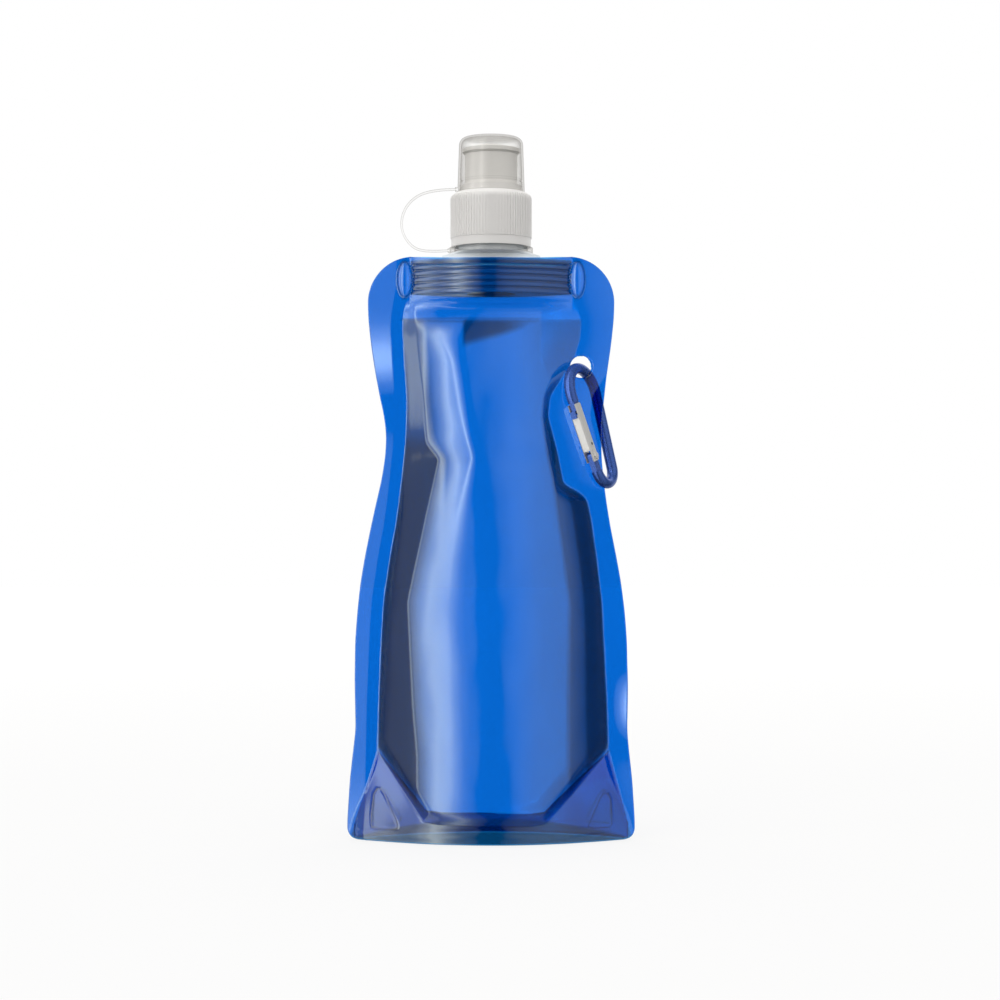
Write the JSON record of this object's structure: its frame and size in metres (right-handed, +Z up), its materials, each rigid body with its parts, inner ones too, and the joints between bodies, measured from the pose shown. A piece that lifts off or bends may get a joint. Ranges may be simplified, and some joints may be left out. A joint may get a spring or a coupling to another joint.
{
  "type": "folding water bottle",
  "caption": "Stand-up film pouch bottle with welded spout, ribbed screw cap, push-pull nozzle, tethered dust cover and carabiner.",
  "frame": {"origin": "centre of the base, on the surface the bottle stands on, below the spout's axis", "axes": "+Z up along the spout's axis; the wide faces look along -Y (front) and +Y (back); +X towards the side with the carabiner"},
  "size_m": [0.109, 0.047, 0.2664],
  "materials": {
    "film": "clear blue laminated film, glossy, welded edges",
    "spout_plastic": "moulded natural polyethylene, slightly see-through",
    "liner_plastic": "foamed sealing disc",
    "cap_plastic": "moulded polypropylene, fine satin",
    "nozzle_plastic": "moulded polyethylene, satin",
    "clear_plastic": "clear moulded polypropylene",
    "blue_anodised": "blue anodised, polished",
    "bright_steel": "bright plated sheet steel",
    "dark_steel": "spring steel"
  },
  "bodies": {
    "pouch": {"front_film": "film", "back_film": "film", "bottom_gusset": "film", "spout_fitment": "spout_plastic"},
    "cap_lifter": {"cap_liner": "liner_plastic"},
    "cap": {"screw_cap": "cap_plastic"},
    "nozzle": {"nozzle": "nozzle_plastic"},
    "tether": {"tether_ring": "clear_plastic", "tether_strap": "clear_plastic"},
    "cover": {"dust_cover": "clear_plastic"},
    "carabiner": {"carabiner_body": "blue_anodised", "gate_rivet": "bright_steel"},
    "gate": {"gate": "bright_steel", "spring_pin": "dark_steel", "gate_spring": "dark_steel"}
  },
  "joints": [
    {"name": "cap_lift", "type": "slide", "parent": "pouch", "child": "cap_lifter", "axis": [0, 0, 1], "range_m": [0, 0.0178]},
    {"name": "cap_turn", "type": "hinge", "parent": "cap_lifter", "child": "cap", "pos_m": [0, 0, 0.233], "axis": [0, 0, 1], "range_deg": [0, 1980]},
    {"name": "nozzle_push", "type": "slide", "parent": "cap", "child": "nozzle", "axis": [0, 0, 1], "range_m": [-0.004, 0]},
    {"name": "tether_swivel", "type": "hinge", "parent": "cap_lifter", "child": "tether", "pos_m": [0, 0, 0.2233], "axis": [0, 0, 1], "continuous": true},
    {"name": "cover_pull", "type": "slide", "parent": "tether", "child": "cover", "axis": [0, 0, 1], "range_m": [0, 0.024], "deforming": ["tether_strap"]},
    {"name": "carabiner_swing", "type": "hinge", "parent": "pouch", "child": "carabiner", "pos_m": [0.034, 0, 0.1791], "axis": [0, -1, 0], "range_deg": [0, 100]},
    {"name": "gate_open", "type": "hinge", "parent": "carabiner", "child": "gate", "pos_m": [0.038, -0.0086, 0.14471], "axis": [-0.826, 0.515, -0.2291], "range_deg": [0, 24], "stiffness_Nm_per_rad": 0.03, "springref_deg": -5.73}
  ],
  "couplings": [
    {"joint": "cap_lift", "follows": "cap_turn", "m_per_rad": 0.0005093}
  ]
}
